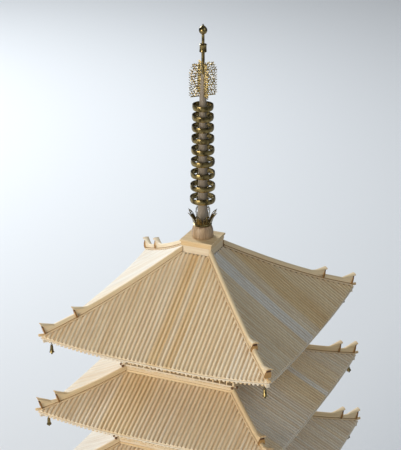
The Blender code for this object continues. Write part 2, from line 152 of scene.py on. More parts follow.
# Spire, with heights above the top of the dew basin
BASIN_HALF = 12.1
DOME_HEIGHT = 8.8
LOTUS_BASE = [(3.9, 1.9), (5.7, 1.9), (6.3, 1.7), (6.5, 1.3), (6.1, 1.0),
              (6.1, 0.7), (6.5, 0.45), (6.3, 0.05), (3.9, 0.05), (3.9, 1.9)]
PETALS = 8
PETAL_HEIGHT = 7.2
PETAL_HALF_WIDTH = 2.1
SHAFT_TOP = 117.0
SHAFT_RADIUS = 3.55
SHAFT_NECK = 2.4
SHAFT_TIP = 1.15
FIRST_RING = 27.7
FIRST_RING_RADIUS = 8.9
LAST_RING_RADIUS = 7.3
RING_SPACING = 9.3
RING_SPACING_LOSS = 2.0 / 7.0
RINGS = 9
RING_HEIGHT = 3.6
SPOKES = 8
FLAME_BASE = 101.6
FLAME_HEIGHT = 22.8
FLAME_REACH = 9.7
SCROLL_PITCH = 1.75
BLOCK_HEIGHT = 135.0
BLOCK_PROFILE = [(1.0, 3.0), (1.7, 2.9), (2.3, 2.7), (2.6, 2.3), (2.35, 1.8),
                 (2.4, -1.8), (2.6, -2.3), (2.3, -2.7), (1.7, -2.9)]
JEWEL_HEIGHT = 147.1
JEWEL_RADIUS = 2.85
TIP_HEIGHT = 151.6

# Angles in degrees where a face's edge is drawn sharp, and where it is bevelled
SHARP_ANGLE = 50.0
BEVEL_ANGLE = 40.0

# Half width of the floor in metres
FLOOR_REACH = 6.0

# The camera of the photo, whose frame is 401 by 450 pixels
FRAME_HEIGHT_PX = 450.0
FOCAL_PX = 1729.0
SENSOR_MM = 36.0
CAMERA_DISTANCE = 1218.0
CAMERA_TARGET_Z = 306.0
CAMERA_AZIMUTH = 23.59
CAMERA_ELEVATION = 25.01
CAMERA_PITCH = 2.70
CAMERA_YAW = -0.07
CAMERA_ROLL = 0.14


# Sizes that follow from the driving dimensions
def eave_half(storey):
    return TOP_EAVE_HALF + EAVE_GROWTH * (STOREYS - storey)


def body_half(storey):
    return TOP_BODY_HALF + BODY_GROWTH * (STOREYS - storey)


def balcony_half(storey):
    return TOP_BALCONY_HALF + BALCONY_GROWTH * (STOREYS - storey)


def balcony_floor(storey):
    return TOP_FLOOR_Z - STOREY_PITCH * (STOREYS - storey)


def eave_z(storey):
    return balcony_floor(storey) + EAVE_ABOVE_FLOOR


def column_top(storey):
    return eave_z(storey) - COLUMN_TOP_BELOW_EAVE


def roof_top_half(storey):
    return TOP_ROOF_HALF if storey == STOREYS else balcony_half(storey + 1) - 0.3


def roof_top_z(storey):
    if storey == STOREYS:
        return eave_z(storey) + TOP_ROOF_RISE
    return balcony_floor(storey + 1) - SKIRT_DROP


def purlin_place(storey):
    return body_half(storey) + BRACKET_STEPS * BRACKET_STEP


def eave_lift(storey, along):
    return CORNER_LIFT * (abs(along) / eave_half(storey)) ** 3


def flying_underside(storey, half):
    edge = eave_half(storey) - EAVES_INSET
    return eave_z(storey) - EAVE_DEPTH + FLYING_SLOPE * (edge - half)


def lower_underside(storey, half):
    break_half = RAFTER_BREAK * eave_half(storey)
    return flying_underside(storey, break_half) - LOWER_DEPTH + LOWER_SLOPE * (break_half - half)


def roof_z(storey, half, along):
    """Height of the valley between ribs, half out from the axis and along the slope's width."""
    outer = eave_half(storey)
    rise = roof_top_z(storey) - eave_z(storey)
    q = (outer - half) / (outer - roof_top_half(storey))
    middle = eave_z(storey) + rise * ((1.0 - ROOF_SAG) * q + ROOF_SAG * q * q)
    return middle + eave_lift(storey, along) * (1.0 - q * q)


def basin_top():
    return roof_top_z(STOREYS) + 10.2


# Collecting geometry
class Shape:
    """Vertices and faces, with the grain place, the tone and the burn of each vertex; burn is scorch colour,
    and in places painted shade.
    """

    def __init__(self):
        self.verts, self.faces, self.smooth = [], [], []
        self.grain, self.tone, self.burn_and_shade = [], [], []

    def add(self, verts, faces, grain, tone, burn_and_shade=0.0, smooth=False):
        start = len(self.verts)
        self.verts.extend(verts)
        self.faces.extend(tuple(start + i for i in face) for face in faces)
        self.smooth.extend([smooth] * len(faces))
        self.grain.extend(grain)
        count = len(verts)
        self.tone.extend(tone if isinstance(tone, list) else [tone] * count)
        self.burn_and_shade.extend(burn_and_shade if isinstance(burn_and_shade, list) else [burn_and_shade] * count)


def turned(angle, axis="Z"):
    return Matrix.Rotation(radians(angle), 4, axis)


def spread_out(count, step):
    """This many places, evenly spaced about the middle."""
    return [(i - (count - 1) / 2) * step for i in range(count)]


def round_angles(count):
    return [2 * pi * k / count for k in range(count)]


def board_tone(spread=1.0):
    return 0.5 + spread * (DRAW.random() - 0.5)


def chosen(tone, spread=0.6):
    """The given tone, or one drawn for this board."""
    return board_tone(spread) if tone is None else tone


def grain_offset():
    return Vector((DRAW.uniform(0.0, 400.0), DRAW.uniform(0.0, 90.0), DRAW.uniform(0.0, 90.0)))


def grain_of(points, size):
    """Grain places of a stick, with its length first, whichever way it lies."""
    order = sorted(range(3), key=lambda axis: -size[axis])
    offset = grain_offset()
    return [Vector((p[order[0]], p[order[1]], p[order[2]])) + offset for p in points]


CUBE_CORNERS = [(x, y, z) for x in (-0.5, 0.5) for y in (-0.5, 0.5) for z in (-0.5, 0.5)]
CUBE_FACES = [(0, 1, 3, 2), (4, 6, 7, 5), (0, 4, 5, 1), (2, 3, 7, 6), (0, 2, 6, 4), (1, 5, 7, 3)]


def box(shape, centre, size, turn=0.0, pitch=0.0, tone=None, burn_and_shade=0.0, taper=1.0, spread=0.6):
    """Add a stick or block; taper narrows its underside."""
    matrix = turned(turn) @ Matrix.Translation(centre) @ turned(-pitch, "Y")
    local = []
    for x, y, z in CUBE_CORNERS:
        shrink = taper if z < 0.0 else 1.0
        local.append(Vector((x * size[0] * shrink, y * size[1] * shrink, z * size[2])))
    shape.add([matrix @ p for p in local], CUBE_FACES, grain_of(local, size), chosen(tone, spread), burn_and_shade)


def upright(shape, turn, place, low, high, size, tone=None):
    """Add a block between two heights, at a (reach, aside) place, with a (depth, width) size."""
    box(shape, (*place, (low + high) / 2), (*size, high - low), turn, 0.0, tone)


def crossing(tall, number):
    """Height of a beam, a hair less for each number, so that crossing beams share no face."""
    return tall - CROSSING_GAP * number


def side_beam(shape, side, reach, level, size, number=0):
    """Add a (depth, length, height) beam along one side, crossing the beams of the next sides."""
    depth, length, tall = size
    box(shape, (reach, 0.0, level), (depth, length, crossing(tall, number + side % 2)), 90 * side)


def loft(shape, loops, tone=None, burn_and_shade=0.0, smooth=False, closed=True, caps=True, grain=None):
    """Join equal loops of points by quads; closed joins each loop's last point to its first."""
    count = len(loops[0])
    verts = [p for loop in loops for p in loop]
    faces = []
    for a in range(0, len(verts) - count, count):
        for i in range(count if closed else count - 1):
            j = (i + 1) % count
            faces.append((a + i, a + j, a + count + j, a + count + i))
    if caps:
        faces.append(tuple(reversed(range(count))))
        faces.append(tuple(range(len(verts) - count, len(verts))))
    if grain is None:
        offset = grain_offset()
        grain = [Vector((level * 2, i * 0.7, 0.0)) + offset
                 for level in range(len(loops)) for i in range(count)]
    shape.add(verts, faces, grain, chosen(tone), burn_and_shade, smooth)


def lathe(shape, profile, steps, centre=(0.0, 0.0, 0.0), tilt=None, tone=0.5, burn_and_shade=0.0):
    """Turn a profile of (radius, height) points, from the top down, about an upright axis."""
    place = Matrix.Translation(centre) @ (tilt or Matrix.Identity(4))
    offset = grain_offset()
    loops = []
    grain = []
    for radius, height in profile:
        points = [Vector((radius * cos(a), radius * sin(a), height)) for a in round_angles(steps)]
        loops.append([place @ p for p in points])
        grain += [Vector((p.z, p.x, p.y)) + offset for p in points]
    loft(shape, loops, tone, burn_and_shade, True, True, profile[0] != profile[-1], grain)


def plate(shape, outline, thickness, matrix, tone=None, burn_and_shade=0.0, edge_burn_and_shade=0.0):
    """Add a flat outline of (x, y) points, with its thickness along local Z."""
    count = len(outline)
    local = [Vector((x, y, z)) for z in (-thickness / 2, thickness / 2) for x, y in outline]
    rim = [(i, (i + 1) % count, count + (i + 1) % count, count + i) for i in range(count)]
    caps = [tuple(reversed(range(count))), tuple(range(count, 2 * count))]
    offset = grain_offset()
    tone = chosen(tone)
    for faces, scorch_and_shade in ((caps, burn_and_shade), (rim, edge_burn_and_shade)):
        shape.add([matrix @ p for p in local], faces, [p + offset for p in local], tone, scorch_and_shade)


def wire(shape, points, radius, sides=5, closed=False):
    """Add a round wire along a run of points."""
    loops = []
    count = len(points)
    side_axis = None
    for i, point in enumerate(points):
        before = points[i - 1] if i or closed else point
        after = points[(i + 1) % count] if i + 1 < count or closed else point
        ahead = (after - before).normalized()
        if side_axis is None:
            side_axis = ahead.orthogonal().normalized()
        side_axis = (side_axis - ahead * side_axis.dot(ahead)).normalized()
        other = ahead.cross(side_axis)
        loops.append([point + radius * (cos(a) * side_axis + sin(a) * other)
                      for a in round_angles(sides)])
    if closed:
        loops.append(loops[0])
    loft(shape, loops, 0.5, 0.0, True, True, not closed)


def new_object(name, data):
    """Add an object for a mesh, light or camera to the scene."""
    made = bpy.data.objects.new(name, data)
    bpy.context.scene.collection.objects.link(made)
    return made


def finish_piece(name, shape, material, replaces, bevel=0.0):
    """Turn a shape into a piece that rides on the part and stands for its CAD nodes."""
    mesh = bpy.data.meshes.new(name)
    mesh.from_pydata([p * MM for p in shape.verts], [], shape.faces)
    mesh.polygons.foreach_set("use_smooth", shape.smooth)
    for key, kind, field, values in (
        ("grain", "FLOAT_VECTOR", "vector", [c for g in shape.grain for c in g]),
        ("tone", "FLOAT", "value", shape.tone),
        ("burn_and_shade", "FLOAT", "value", shape.burn_and_shade),
    ):
        attribute = mesh.attributes.new(key, kind, "POINT")
        attribute.data.foreach_set(field, values)
    mesh.set_sharp_from_angle(angle=radians(SHARP_ANGLE))
    piece = new_object(name, mesh)
    mesh.materials.append(material)
    if bevel:
        edges = piece.modifiers.new("soft edges", "BEVEL")
        edges.width = bevel * MM
        edges.segments = 1
        edges.limit_method = "ANGLE"
        edges.angle_limit = radians(BEVEL_ANGLE)
    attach(piece, "root")
    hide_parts(*replaces)


# Materials
def linear(colour):
    """Linear colour of an sRGB colour given in 0 to 255."""
    shares = [part / 255 for part in colour]
    return (*[s / 12.92 if s <= 0.04 else ((s + 0.055) / 1.055) ** 2.4 for s in shares], 1.0)


class Nodes:
    """Short names for building one material's node tree."""

    def __init__(self, name):
        self.material = bpy.data.materials.new(name)
        self.material.use_nodes = True
        self.tree = self.material.node_tree
        self.shader = self.tree.nodes["Principled BSDF"]

    def feed(self, node, values):
        """Link or set each input of a node that values names."""
        for socket, value in values.items():
            if isinstance(value, bpy.types.NodeSocket):
                self.tree.links.new(value, node.inputs[socket])
            else:
                node.inputs[socket].default_value = value

    def new(self, kind, values, **settings):
        node = self.tree.nodes.new(kind)
        for key, value in settings.items():
            setattr(node, key, value)
        self.feed(node, values)
        return node

    def attribute(self, name, output="Fac"):
        return self.new("ShaderNodeAttribute", {}, attribute_name=name).outputs[output]

    def stretched(self, source, scale):
        return self.new("ShaderNodeMapping", {"Vector": source, "Scale": scale}).outputs["Vector"]

    def noise(self, source, scale, detail, roughness=0.55):
        values = {"Vector": source, "Scale": scale, "Detail": detail, "Roughness": roughness}
        return self.new("ShaderNodeTexNoise", values).outputs["Fac"]

    def ramp(self, source, stops):
        """Colours by place, given in 0 to 255."""
        node = self.new("ShaderNodeValToRGB", {"Fac": source})
        elements = node.color_ramp.elements
        while len(elements) < len(stops):
            elements.new(0.5)
        for element, (place, colour) in zip(elements, stops):
            element.position = place
            element.color = linear(colour)
        return node.outputs["Color"]

    def mix(self, factor, first, second, blend="MIX"):
        values = {0: factor, 6: first, 7: second}
        return self.new("ShaderNodeMix", values, data_type="RGBA", blend_type=blend).outputs[2]

    def maths(self, operation, *values, **settings):
        return self.new("ShaderNodeMath", dict(enumerate(values)), operation=operation, **settings).outputs[0]

    def bump(self, height, strength, distance):
        values = {"Height": height, "Strength": strength, "Distance": distance}
        self.feed(self.shader, {"Normal": self.new("ShaderNodeBump", values).outputs["Normal"]})

    def surface(self, colour, roughness, metallic=0.0):
        self.feed(self.shader, {"Base Color": colour, "Roughness": roughness, "Metallic": metallic})


WHITE = (255, 255, 255)


def wood_material(name, stops, streak, roughness, contrast=0.25):
    """Planed wood: tone picks the board's hue, grain runs along it, burn scorches it and also lays painted
    shade in the roof grooves and under the ridge noses.
    """
    nodes = Nodes(name)
    grain = nodes.attribute("grain", "Vector")
    burn_and_shade = nodes.attribute("burn_and_shade")
    fibres = nodes.noise(nodes.stretched(grain, (0.06, 1.7, 1.7)), 1.0, 4.0, 0.6)
    rings = nodes.noise(nodes.stretched(grain, (0.014, 0.3, 0.3)), 1.0, 2.0)
    pores = nodes.noise(nodes.stretched(grain, (0.35, 8.0, 8.0)), 1.0, 2.0)
    colour = nodes.ramp(nodes.attribute("tone"), stops)
    for pattern, start, end in ((fibres, 0.32, 0.6), (rings, 0.34, 0.56)):
        shade = nodes.ramp(pattern, [(start, streak), (end, WHITE)])
        colour = nodes.mix(contrast, colour, shade, "MULTIPLY")
    # Scorch colour, also used as painted shade in the roof grooves and on the plate tops under the ridge
    # noses
    mottled = nodes.maths("MULTIPLY", burn_and_shade, nodes.maths("ADD", pores, 0.5))
    scorch_and_shade = nodes.ramp(mottled, [(0.3, (200, 148, 74)), (0.85, (84, 50, 28))])
    colour = nodes.mix(nodes.maths("MULTIPLY", burn_and_shade, 1.7, use_clamp=True), colour, scorch_and_shade)
    nodes.surface(colour, roughness)
    nodes.bump(nodes.mix(0.5, fibres, pores), 0.25, 0.0002)
    return nodes.material


def brass_material(name, light, dark, roughness):
    """Cast brass, darker and duller in patches."""
    nodes = Nodes(name)
    grain = nodes.attribute("grain", "Vector")
    specks = nodes.noise(grain, 2.2, 2.0)
    colour = nodes.ramp(nodes.noise(grain, 0.35, 3.0), [(0.32, dark), (0.62, light)])
    nodes.surface(colour, nodes.maths("MULTIPLY_ADD", specks, 0.25, roughness - 0.1), 1.0)
    nodes.bump(specks, 0.15, 0.0001)
    return nodes.material


WOOD = wood_material("pale_wood", [
    (0.0, (230, 226, 218)), (0.35, (234, 219, 192)), (0.65, (232, 210, 170)), (1.0, (226, 196, 146)),
], (214, 184, 140), 0.55)
BROWN = wood_material("brown_wood", [
    (0.0, (188, 160, 126)), (0.5, (196, 168, 133)), (1.0, (202, 172, 133)),
], (120, 88, 62), 0.42, 0.5)
# Shaft wood: a little darker than the tower's wood, and darkened further as painted shade
SPIRE_WOOD_AND_PAINTED_SHADE = wood_material("spire_wood_and_painted_shade", [
    (0.0, (156, 144, 128)), (0.5, (164, 151, 133)), (1.0, (170, 155, 133)),
], (120, 103, 86), 0.45)
# Brass with real tarnish in its darker patches, its colours kept dark overall as a painted reflection of dark
# surroundings
BRASS_AND_PAINTED_REFLECTION = brass_material("brass", (156, 138, 92), (66, 56, 34), 0.2)
FINE_BRASS = brass_material("fine_brass", (190, 168, 112), (126, 106, 64), 0.34)


def finish_wood(node, ending, shape, bevel=0.0):
    finish_piece(f"{node}_{ending}", shape, WOOD, [node], bevel)


def finish_brass(node, ending, shape, material=BRASS_AND_PAINTED_REFLECTION):
    finish_piece(f"{node}_{ending}", shape, material, [node])


# Roof slopes
def rib_places(outer):
    """Places along the eave with the rib height and board number at each."""
    profile = [(-0.5 * RIB_PITCH, 0.0)]
    for step in range(RIB_STEPS + 1):
        angle = pi * (step / RIB_STEPS - 0.5)
        profile.append((RIB_RADIUS * sin(angle), RIB_RADIUS * cos(angle)))
    ribs = int(outer / RIB_PITCH) + 1
    first_joint = DRAW.randrange(RIBS_PER_BOARD)
    places = []
    for rib in range(-ribs, ribs + 1):
        board = (rib + ribs + first_joint) // RIBS_PER_BOARD
        places += [(rib * RIB_PITCH + offset, height, board) for offset, height in profile
                   if abs(rib * RIB_PITCH + offset) < outer]
    return [(-outer, 0.0, places[0][2])] + places + [(outer, 0.0, places[-1][2])]


def roof_slope(shape, storey, side):
    """One ribbed slope, a closed slab from the hips down to the rounded ends of its ribs."""
    outer = eave_half(storey)
    rows = TOP_ROOF_ROWS if storey == STOREYS else ROOF_ROWS
    matrix = turned(90 * side)
    places = rib_places(outer)
    # Each slope starts from its side's tone; the left slopes' near-white tone is a painted highlight
    tones = {board: SIDE_TONE_AND_PAINTED_HIGHLIGHT[side] + DRAW.uniform(-TONE_SPREAD, TONE_SPREAD) for board in range(-1, 9)}
    loops = []
    grain = []
    tone = []
    burn_and_shade = []
    for along, height, board in places:
        inner = max(abs(along), roof_top_half(storey))
        back = max(abs(along), outer - SLAB_REACH)
        eave = roof_z(storey, outer, along)
        line = [(back, eave - TILE_BOARD), (outer, eave - TILE_BOARD), (outer, eave + 0.7 * height),
                (outer - RIB_END, eave + height)]
        for row in range(1, rows + 1):
            half = outer - RIB_END + (inner - outer + RIB_END) * row / rows
            line.append((half, roof_z(storey, half, along) + height))
        for step in range(ROOF_BACK_STEPS):
            half = inner + (back - inner) * step / ROOF_BACK_STEPS
            line.append((half, roof_z(storey, half, along) - TILE_BOARD))
        loops.append([matrix @ Vector((along, -half, level)) for half, level in line])
        shade = tones[board]
        for start, end, band_tone in BOARD_BANDS.get((storey, side), []):
            if start < along <= end:
                shade = band_tone
        shade += 0.05 * sin(round(along / RIB_PITCH) * 2.3) + 0.04 * sin(along * 0.11 + storey)
        across = board * 31 + storey * 7 + side * 3
        grain += [Vector((i * 7, along, across)) for i in range(len(line))]
        tone += [min(1.0, max(0.0, shade))] * len(line)
        # The valleys between ribs get a little scorch colour as painted shade
        burn_and_shade += [GROOVE_PAINTED_SHADE if height < 0.3 else 0.0] * len(line)
    loft(shape, loops, tone, burn_and_shade, True, True, False, grain)


def make_roof(storey):
    shape = Shape()
    for side in range(4):
        roof_slope(shape, storey, side)
    finish_wood(f"roof_{storey}", "tiles", shape)


# Eaves
def ring_strip(shape, section, tone=None):
    """Add a strip that runs round all four sides; section is (half width, height, corner lift)."""
    loops = []
    for side in range(4):
        matrix = turned(90 * side)
        for step in range(SIDE_STEPS):
            share = -1.0 + 2 * step / SIDE_STEPS
            loops.append([matrix @ Vector((share * half, -half, height + lift * abs(share) ** 3))
                          for half, height, lift in section])
    loops.append(loops[0])
    offset = grain_offset()
    grain = [offset + Vector((i * 8, k * 1.5, 0.0)) for i in range(len(loops)) for k in range(len(section))]
    loft(shape, loops, tone, 0.0, False, True, False, grain)


def soffit_board(shape, outer, inner):
    """Add a board round the eaves between two (half, underside height, corner lift) edges."""
    upper = [(half, height + SOFFIT_THICKNESS, lift) for half, height, lift in (inner, outer)]
    ring_strip(shape, [outer, inner] + upper)


def rafter_places(limit):
    return spread_out(2 * int(limit / RIB_PITCH) + 1, RIB_PITCH)


def sloping_stick(shape, turn, along, ends, height):
    """Add a rafter between two (half, underside height) ends."""
    (start, low), (end, high) = ends
    pitch = degrees(atan2(high - low, end - start))
    size = (hypot(end - start, high - low), RAFTER_WIDTH, height)
    box(shape, ((start + end) / 2, along, (low + high + height) / 2), size, turn, pitch, spread=0.7)


def corner_beam(shape, turn, inner, outer, width, tone):
    """Add a beam under a hip between two (half, middle height) ends."""
    run = (outer[0] - inner[0]) * ROOT2
    pitch = degrees(atan2(outer[1] - inner[1], run))
    middle = ((inner[0] + outer[0]) / 2 * ROOT2, 0.0, (inner[1] + outer[1]) / 2)
    box(shape, middle, (run, width, BEAM_HEIGHT), turn, pitch, tone)


def make_rafters(storey):
    shape = Shape()
    edge = eave_half(storey) - EAVES_INSET
    break_half = RAFTER_BREAK * eave_half(storey)
    wall = body_half(storey)
    end = break_half + 1.4
    for side in range(4):
        turn = 90 * side - 90.0
        for along in rafter_places(edge - 3.0):
            lift = eave_lift(storey, along)
            start = max(break_half - 3.0, abs(along) + 1.0)
            if start < edge - 2.0:
                ends = [(half, flying_underside(storey, half) + lift) for half in (start, edge)]
                sloping_stick(shape, turn, along, ends, FLYING_HEIGHT)
        for along in rafter_places(break_half - 3.0):
            lift = eave_lift(storey, along)
            start = max(wall, abs(along) + 1.0)
            start_lift = lift * (start - wall) / (break_half - wall)
            ends = [(start, lower_underside(storey, start) + start_lift),
                    (end, lower_underside(storey, end) + lift)]
            sloping_stick(shape, turn, along, ends, LOWER_HEIGHT)
    finish_wood(f"eaves_{storey}", "rafters", shape, 0.12)


def make_eave_boards(storey):
    """Soffit boards, the long boards that carry the rafter ends and the tiles, and corner beams."""
    shape = Shape()
    outer = eave_half(storey)
    edge = outer - EAVES_INSET
    break_half = RAFTER_BREAK * outer
    wall = body_half(storey)
    top = eave_z(storey) - TILE_BOARD - 0.05
    lift = CORNER_LIFT
    low_lift = CORNER_LIFT * RAFTER_BREAK ** 3
    fly = flying_underside(storey, edge) + FLYING_HEIGHT
    fly_in = flying_underside(storey, break_half) + FLYING_HEIGHT
    low = lower_underside(storey, break_half) + LOWER_HEIGHT
    low_in = lower_underside(storey, wall) + LOWER_HEIGHT
    lip = fly - 0.55
    ring_strip(shape, [
        (edge + 0.2, lip, lift), (edge + 0.2, top - 1.0, lift), (outer + 0.45, top - 0.8, lift),
        (outer + 0.45, top, lift), (edge - 2.0, top, lift), (edge - 2.0, lip, lift)], 0.24)
    soffit_board(shape, (edge - 1.0, fly + 0.1, lift), (break_half - 1.0, fly_in + 0.1, low_lift))
    ring_strip(shape, [
        (break_half + 1.0, low, low_lift), (break_half + 1.0, fly_in, low_lift),
        (break_half - 1.0, fly_in, low_lift), (break_half - 1.0, low, low_lift)])
    soffit_board(shape, (break_half, low + 0.1, low_lift), (wall - 1.0, low_in + 0.1, 0.0))
    slope = (fly + lift - fly_in - low_lift) / (edge - break_half)
    middle = fly - FLYING_HEIGHT + lift + 0.9
    nose = (edge + 0.6, middle + 0.6 * slope)
    root = (break_half - 6.0, middle + (break_half - 6.0 - edge) * slope)
    foot = (wall + 1.0, low_in - LOWER_HEIGHT + 0.4)
    head = (break_half + 2.0, low - LOWER_HEIGHT + low_lift + 0.4)
    for turn in CORNERS:
        corner_beam(shape, turn, root, nose, 2.6, 0.3)
        corner_beam(shape, turn, foot, head, 3.0, 0.4)
    finish_wood(f"eaves_{storey}", "boards", shape, 0.15)


def make_bells(storey):
    """Four small wind bells on bent hooks under the corner beams."""
    shape = Shape()
    edge = eave_half(storey) - EAVES_INSET
    under = flying_underside(storey, edge) + CORNER_LIFT - 0.6
    for turn in CORNERS:
        centre = turned(turn) @ Vector((edge * ROOT2 - 5.2, 0.0, under))
        lean = turned(DRAW.uniform(-12.0, 12.0), "X") @ turned(DRAW.uniform(-12.0, 12.0), "Y")
        wire(shape, [centre + lean @ Vector((0.0, 0.0, z)) for z in (1.0, -1.2, -2.6)], 0.26, 6)
        loop = [centre + lean @ Vector((0.62 * cos(a), 0.0, -3.1 + 0.62 * sin(a)))
                for a in round_angles(12)]
        wire(shape, loop, 0.24, 5, True)
        lathe(shape, BELL_PROFILE, 16, centre, lean)
        lathe(shape, CLAPPER_PROFILE, 8, centre, lean)
    finish_brass(f"eaves_{storey}", "bells", shape)


# Hip ridges
def ridge_ends(storey):
    upper_gap = 18.0 if storey == STOREYS else 10.6
    return eave_half(storey) - upper_gap, eave_half(storey) - 1.8


def ridge_section(width, low, high, crown):
    """Cross-section of a ridge, upright sides under a round top."""
    half = width / 2
    shoulder = high - crown
    arc = [pi * (1 - step / 6) for step in range(1, 6)]
    top = [(half * cos(a), shoulder + crown * sin(a)) for a in arc]
    return [(-half, low), (-half, shoulder)] + top + [(half, shoulder), (half, low)]


def sweep_on_hip(shape, storey, turn, span, section, top_at, tone, burn_and_shade=0.0, leaning=False):
    """Sweep a (width, low, crown) ridge along a hip; top_at gives its top at a distance from the end."""
    start, end = span
    width, low, crown = section
    matrix = turned(turn)
    loops = []
    grain = []
    offset = grain_offset()
    for step in range(HIP_STEPS + 1):
        half = start + (end - start) * step / HIP_STEPS
        base = roof_z(storey, half, half)
        outline = ridge_section(width, low, top_at((end - half) * ROOT2), crown)
        lean = tan(radians(PLATE_LEAN)) if leaning and step == HIP_STEPS else 0.0
        loops.append([matrix @ Vector((half * ROOT2 + lean * z, side, base + z)) for side, z in outline])
        grain += [offset + Vector((half * 1.6, side, z)) for side, z in outline]
    loft(shape, loops, tone, burn_and_shade, True, True, True, grain)


def upper_stage_height(back):
    """Height of the upper stage's top above the roof, this far back from its end plate."""
    return RIDGE_HEIGHT + NOSE_RISE * max(0.0, NOSE_BEND - back)


def lower_stage_height(storey, back):
    start_height = TOP_JOINT_HEIGHT if storey == STOREYS else JOINT_HEIGHT
    upper_end, lower_end = ridge_ends(storey)
    share = min(1.0, back / ((lower_end - upper_end) * ROOT2))
    bent = NOSE_RISE * max(0.0, NOSE_BEND - back)
    return start_height + (RIDGE_HEIGHT - 0.2 - start_height) * (1.0 - share * share) + bent


def ridge_nose(shape, storey, turn, half, height_at, tone):
    """The arched tile that widens and rises past the end plate of a ridge stage."""
    matrix = turned(turn)
    loops = []
    for step in range(NOSE_STEPS + 1):
        share = step / NOSE_STEPS
        out = -NOSE_BEND + (NOSE_BEND + NOSE_LENGTH) * share
        place = half + out / ROOT2
        width = RIDGE_WIDTH + 0.1 + 2.1 * share ** 1.6
        thick = 0.3 + 0.4 * share
        crown = roof_z(storey, place, place) + height_at(max(0.0, -out)) + NOSE_RISE * max(0.0, out) + 0.15
        upper = [(0.5 * width * x, crown - 0.5 * x * x) for x in spread_out(7, 1 / 3)]
        lower = [(0.92 * aside, level - thick) for aside, level in reversed(upper)]
        loops.append([matrix @ Vector((half * ROOT2 + out, aside, level)) for aside, level in upper + lower])
    count = len(loops[0])
    burn_and_shade = [0.0] * (count * NOSE_STEPS) + [0.3] * count
    loft(shape, loops, tone, burn_and_shade, True)


def end_plate(shape, storey, turn, half, notch):
    """The shaped plate that closes the end of a ridge stage, scorched where it was cut; its fully darkened
    top under the nose tile is partly scorch and partly painted shade.
    """
    base = roof_z(storey, half, half) + 1.3
    height = PLATE_TALL
    right = [(2.25, 0.0), (2.4, 0.3 * height), (2.1, 0.66 * height), (1.5, 0.92 * height)]
    outline = right + [(-x, y) for x, y in reversed(right)]
    if notch:
        outline += [(-1.5, 0.0), (-1.4, 0.36 * height), (0.0, 0.46 * height), (1.4, 0.36 * height),
                    (1.5, 0.0)]
    matrix = turned(turn) @ Matrix.Translation((half * ROOT2 + 0.3, 0.0, base))
    matrix = matrix @ turned(PLATE_LEAN, "Y") @ turned(90.0) @ turned(90.0, "X")
    plate(shape, outline, 1.0, matrix, 0.8, 0.48, 0.66)
    # The top strip under the nose tile is darkened fully: partly scorch, partly painted shade
    cap = [(1.6, 0.9 * height), (1.3, 1.17 * height), (-1.3, 1.17 * height), (-1.6, 0.9 * height)]
    plate(shape, cap, 0.8, matrix, 0.8, 1.0, 1.0)


def make_ridges(storey):
    shape = Shape()
    plates = Shape()
    upper_end, lower_end = ridge_ends(storey)
    start = roof_top_half(storey) - 0.4
    corner = eave_half(storey)
    tip = Vector((corner * ROOT2, 0.0, roof_z(storey, corner, corner) + 0.9))
    barrel = turned(84.0, "Y")

    def lower_height(back):
        return lower_stage_height(storey, back)

    for turn in CORNERS:
        tone = board_tone(0.4) + 0.12
        sweep_on_hip(shape, storey, turn, (start, lower_end + 0.3), (RIDGE_BASE_WIDTH, 0.35, 0.3),
                     lambda back: 1.3, 0.5, 0.06)
        sweep_on_hip(shape, storey, turn, (start, lower_end), (RIDGE_WIDTH - 0.5, -0.5, 0.1),
                     lambda back: 2.3, 0.3, 0.62)
        sweep_on_hip(shape, storey, turn, (upper_end - 2.0, lower_end), (RIDGE_WIDTH, 1.8, 0.7),
                     lower_height, tone, leaning=True)
        sweep_on_hip(shape, storey, turn, (start, upper_end), (RIDGE_WIDTH, 1.8, 0.8),
                     upper_stage_height, tone, leaning=True)
        ridge_nose(shape, storey, turn, upper_end, upper_stage_height, tone)
        ridge_nose(shape, storey, turn, lower_end, lower_height, tone)
        end_plate(plates, storey, turn, upper_end, True)
        end_plate(plates, storey, turn, lower_end, False)
        lathe(shape, [(0.85, 2.1), (1.0, 1.9), (1.0, -5.0)], 12, turned(turn) @ tip, turned(turn) @ barrel,
              0.7, 0.15)
    finish_wood(f"ridges_{storey}", "wood", shape)
    finish_wood(f"ridges_{storey}", "end_plates", plates, 0.1)


def square_band(shape, half, low, high, thickness, tone=None):
    """Four boards on edge round a square, two of them butting between the others."""
    for side in range(4):
        length = 2 * half - 2 * thickness * (side % 2)
        upright(shape, 90 * side, (half - thickness / 2, 0.0), low, high, (thickness, length), tone)


def make_skirts(storey):
    """The boards round the top of a roof, where its ribs begin."""
    shape = Shape()
    half = roof_top_half(storey)
    base = roof_top_z(storey)
    if storey == STOREYS:
        square_band(shape, half - 1.4, base - 1.0, base + 2.0, 0.8, 0.3)
        square_band(shape, half - 0.3, base + 0.7, base + 6.0, 1.6)
    else:
        square_band(shape, half - 0.8, base - 1.5, base + 2.0, 0.8, 0.3)
        square_band(shape, half + 0.3, base + 0.5, base + 2.2, 1.5)
        square_band(shape, half - 0.1, base + 2.0, base + SKIRT_DROP - FLOOR_PLATE, 1.2)
    finish_piece(f"roof_{storey}_skirt", shape, WOOD, [f"ridges_{storey}"], bevel=0.15)


# Bodies and brackets
def bay_window(shape, turn, half, centre, width, low, high):
    """A barred window between two rails."""
    face = half + 0.2
    for level in (low, high):
        box(shape, (face, centre, level), (1.2, width, 0.9), turn)
    for hand in (-1, 1):
        upright(shape, turn, (face, centre + hand * (width / 2 - 0.4)), low, high, (1.2, 0.9))
    bars = max(3, int((width - 2.0) / 1.3))
    for place in spread_out(bars, (width - 1.8) / bars):
        upright(shape, turn, (face - 0.2, centre + place), low, high, (0.7, 0.55))


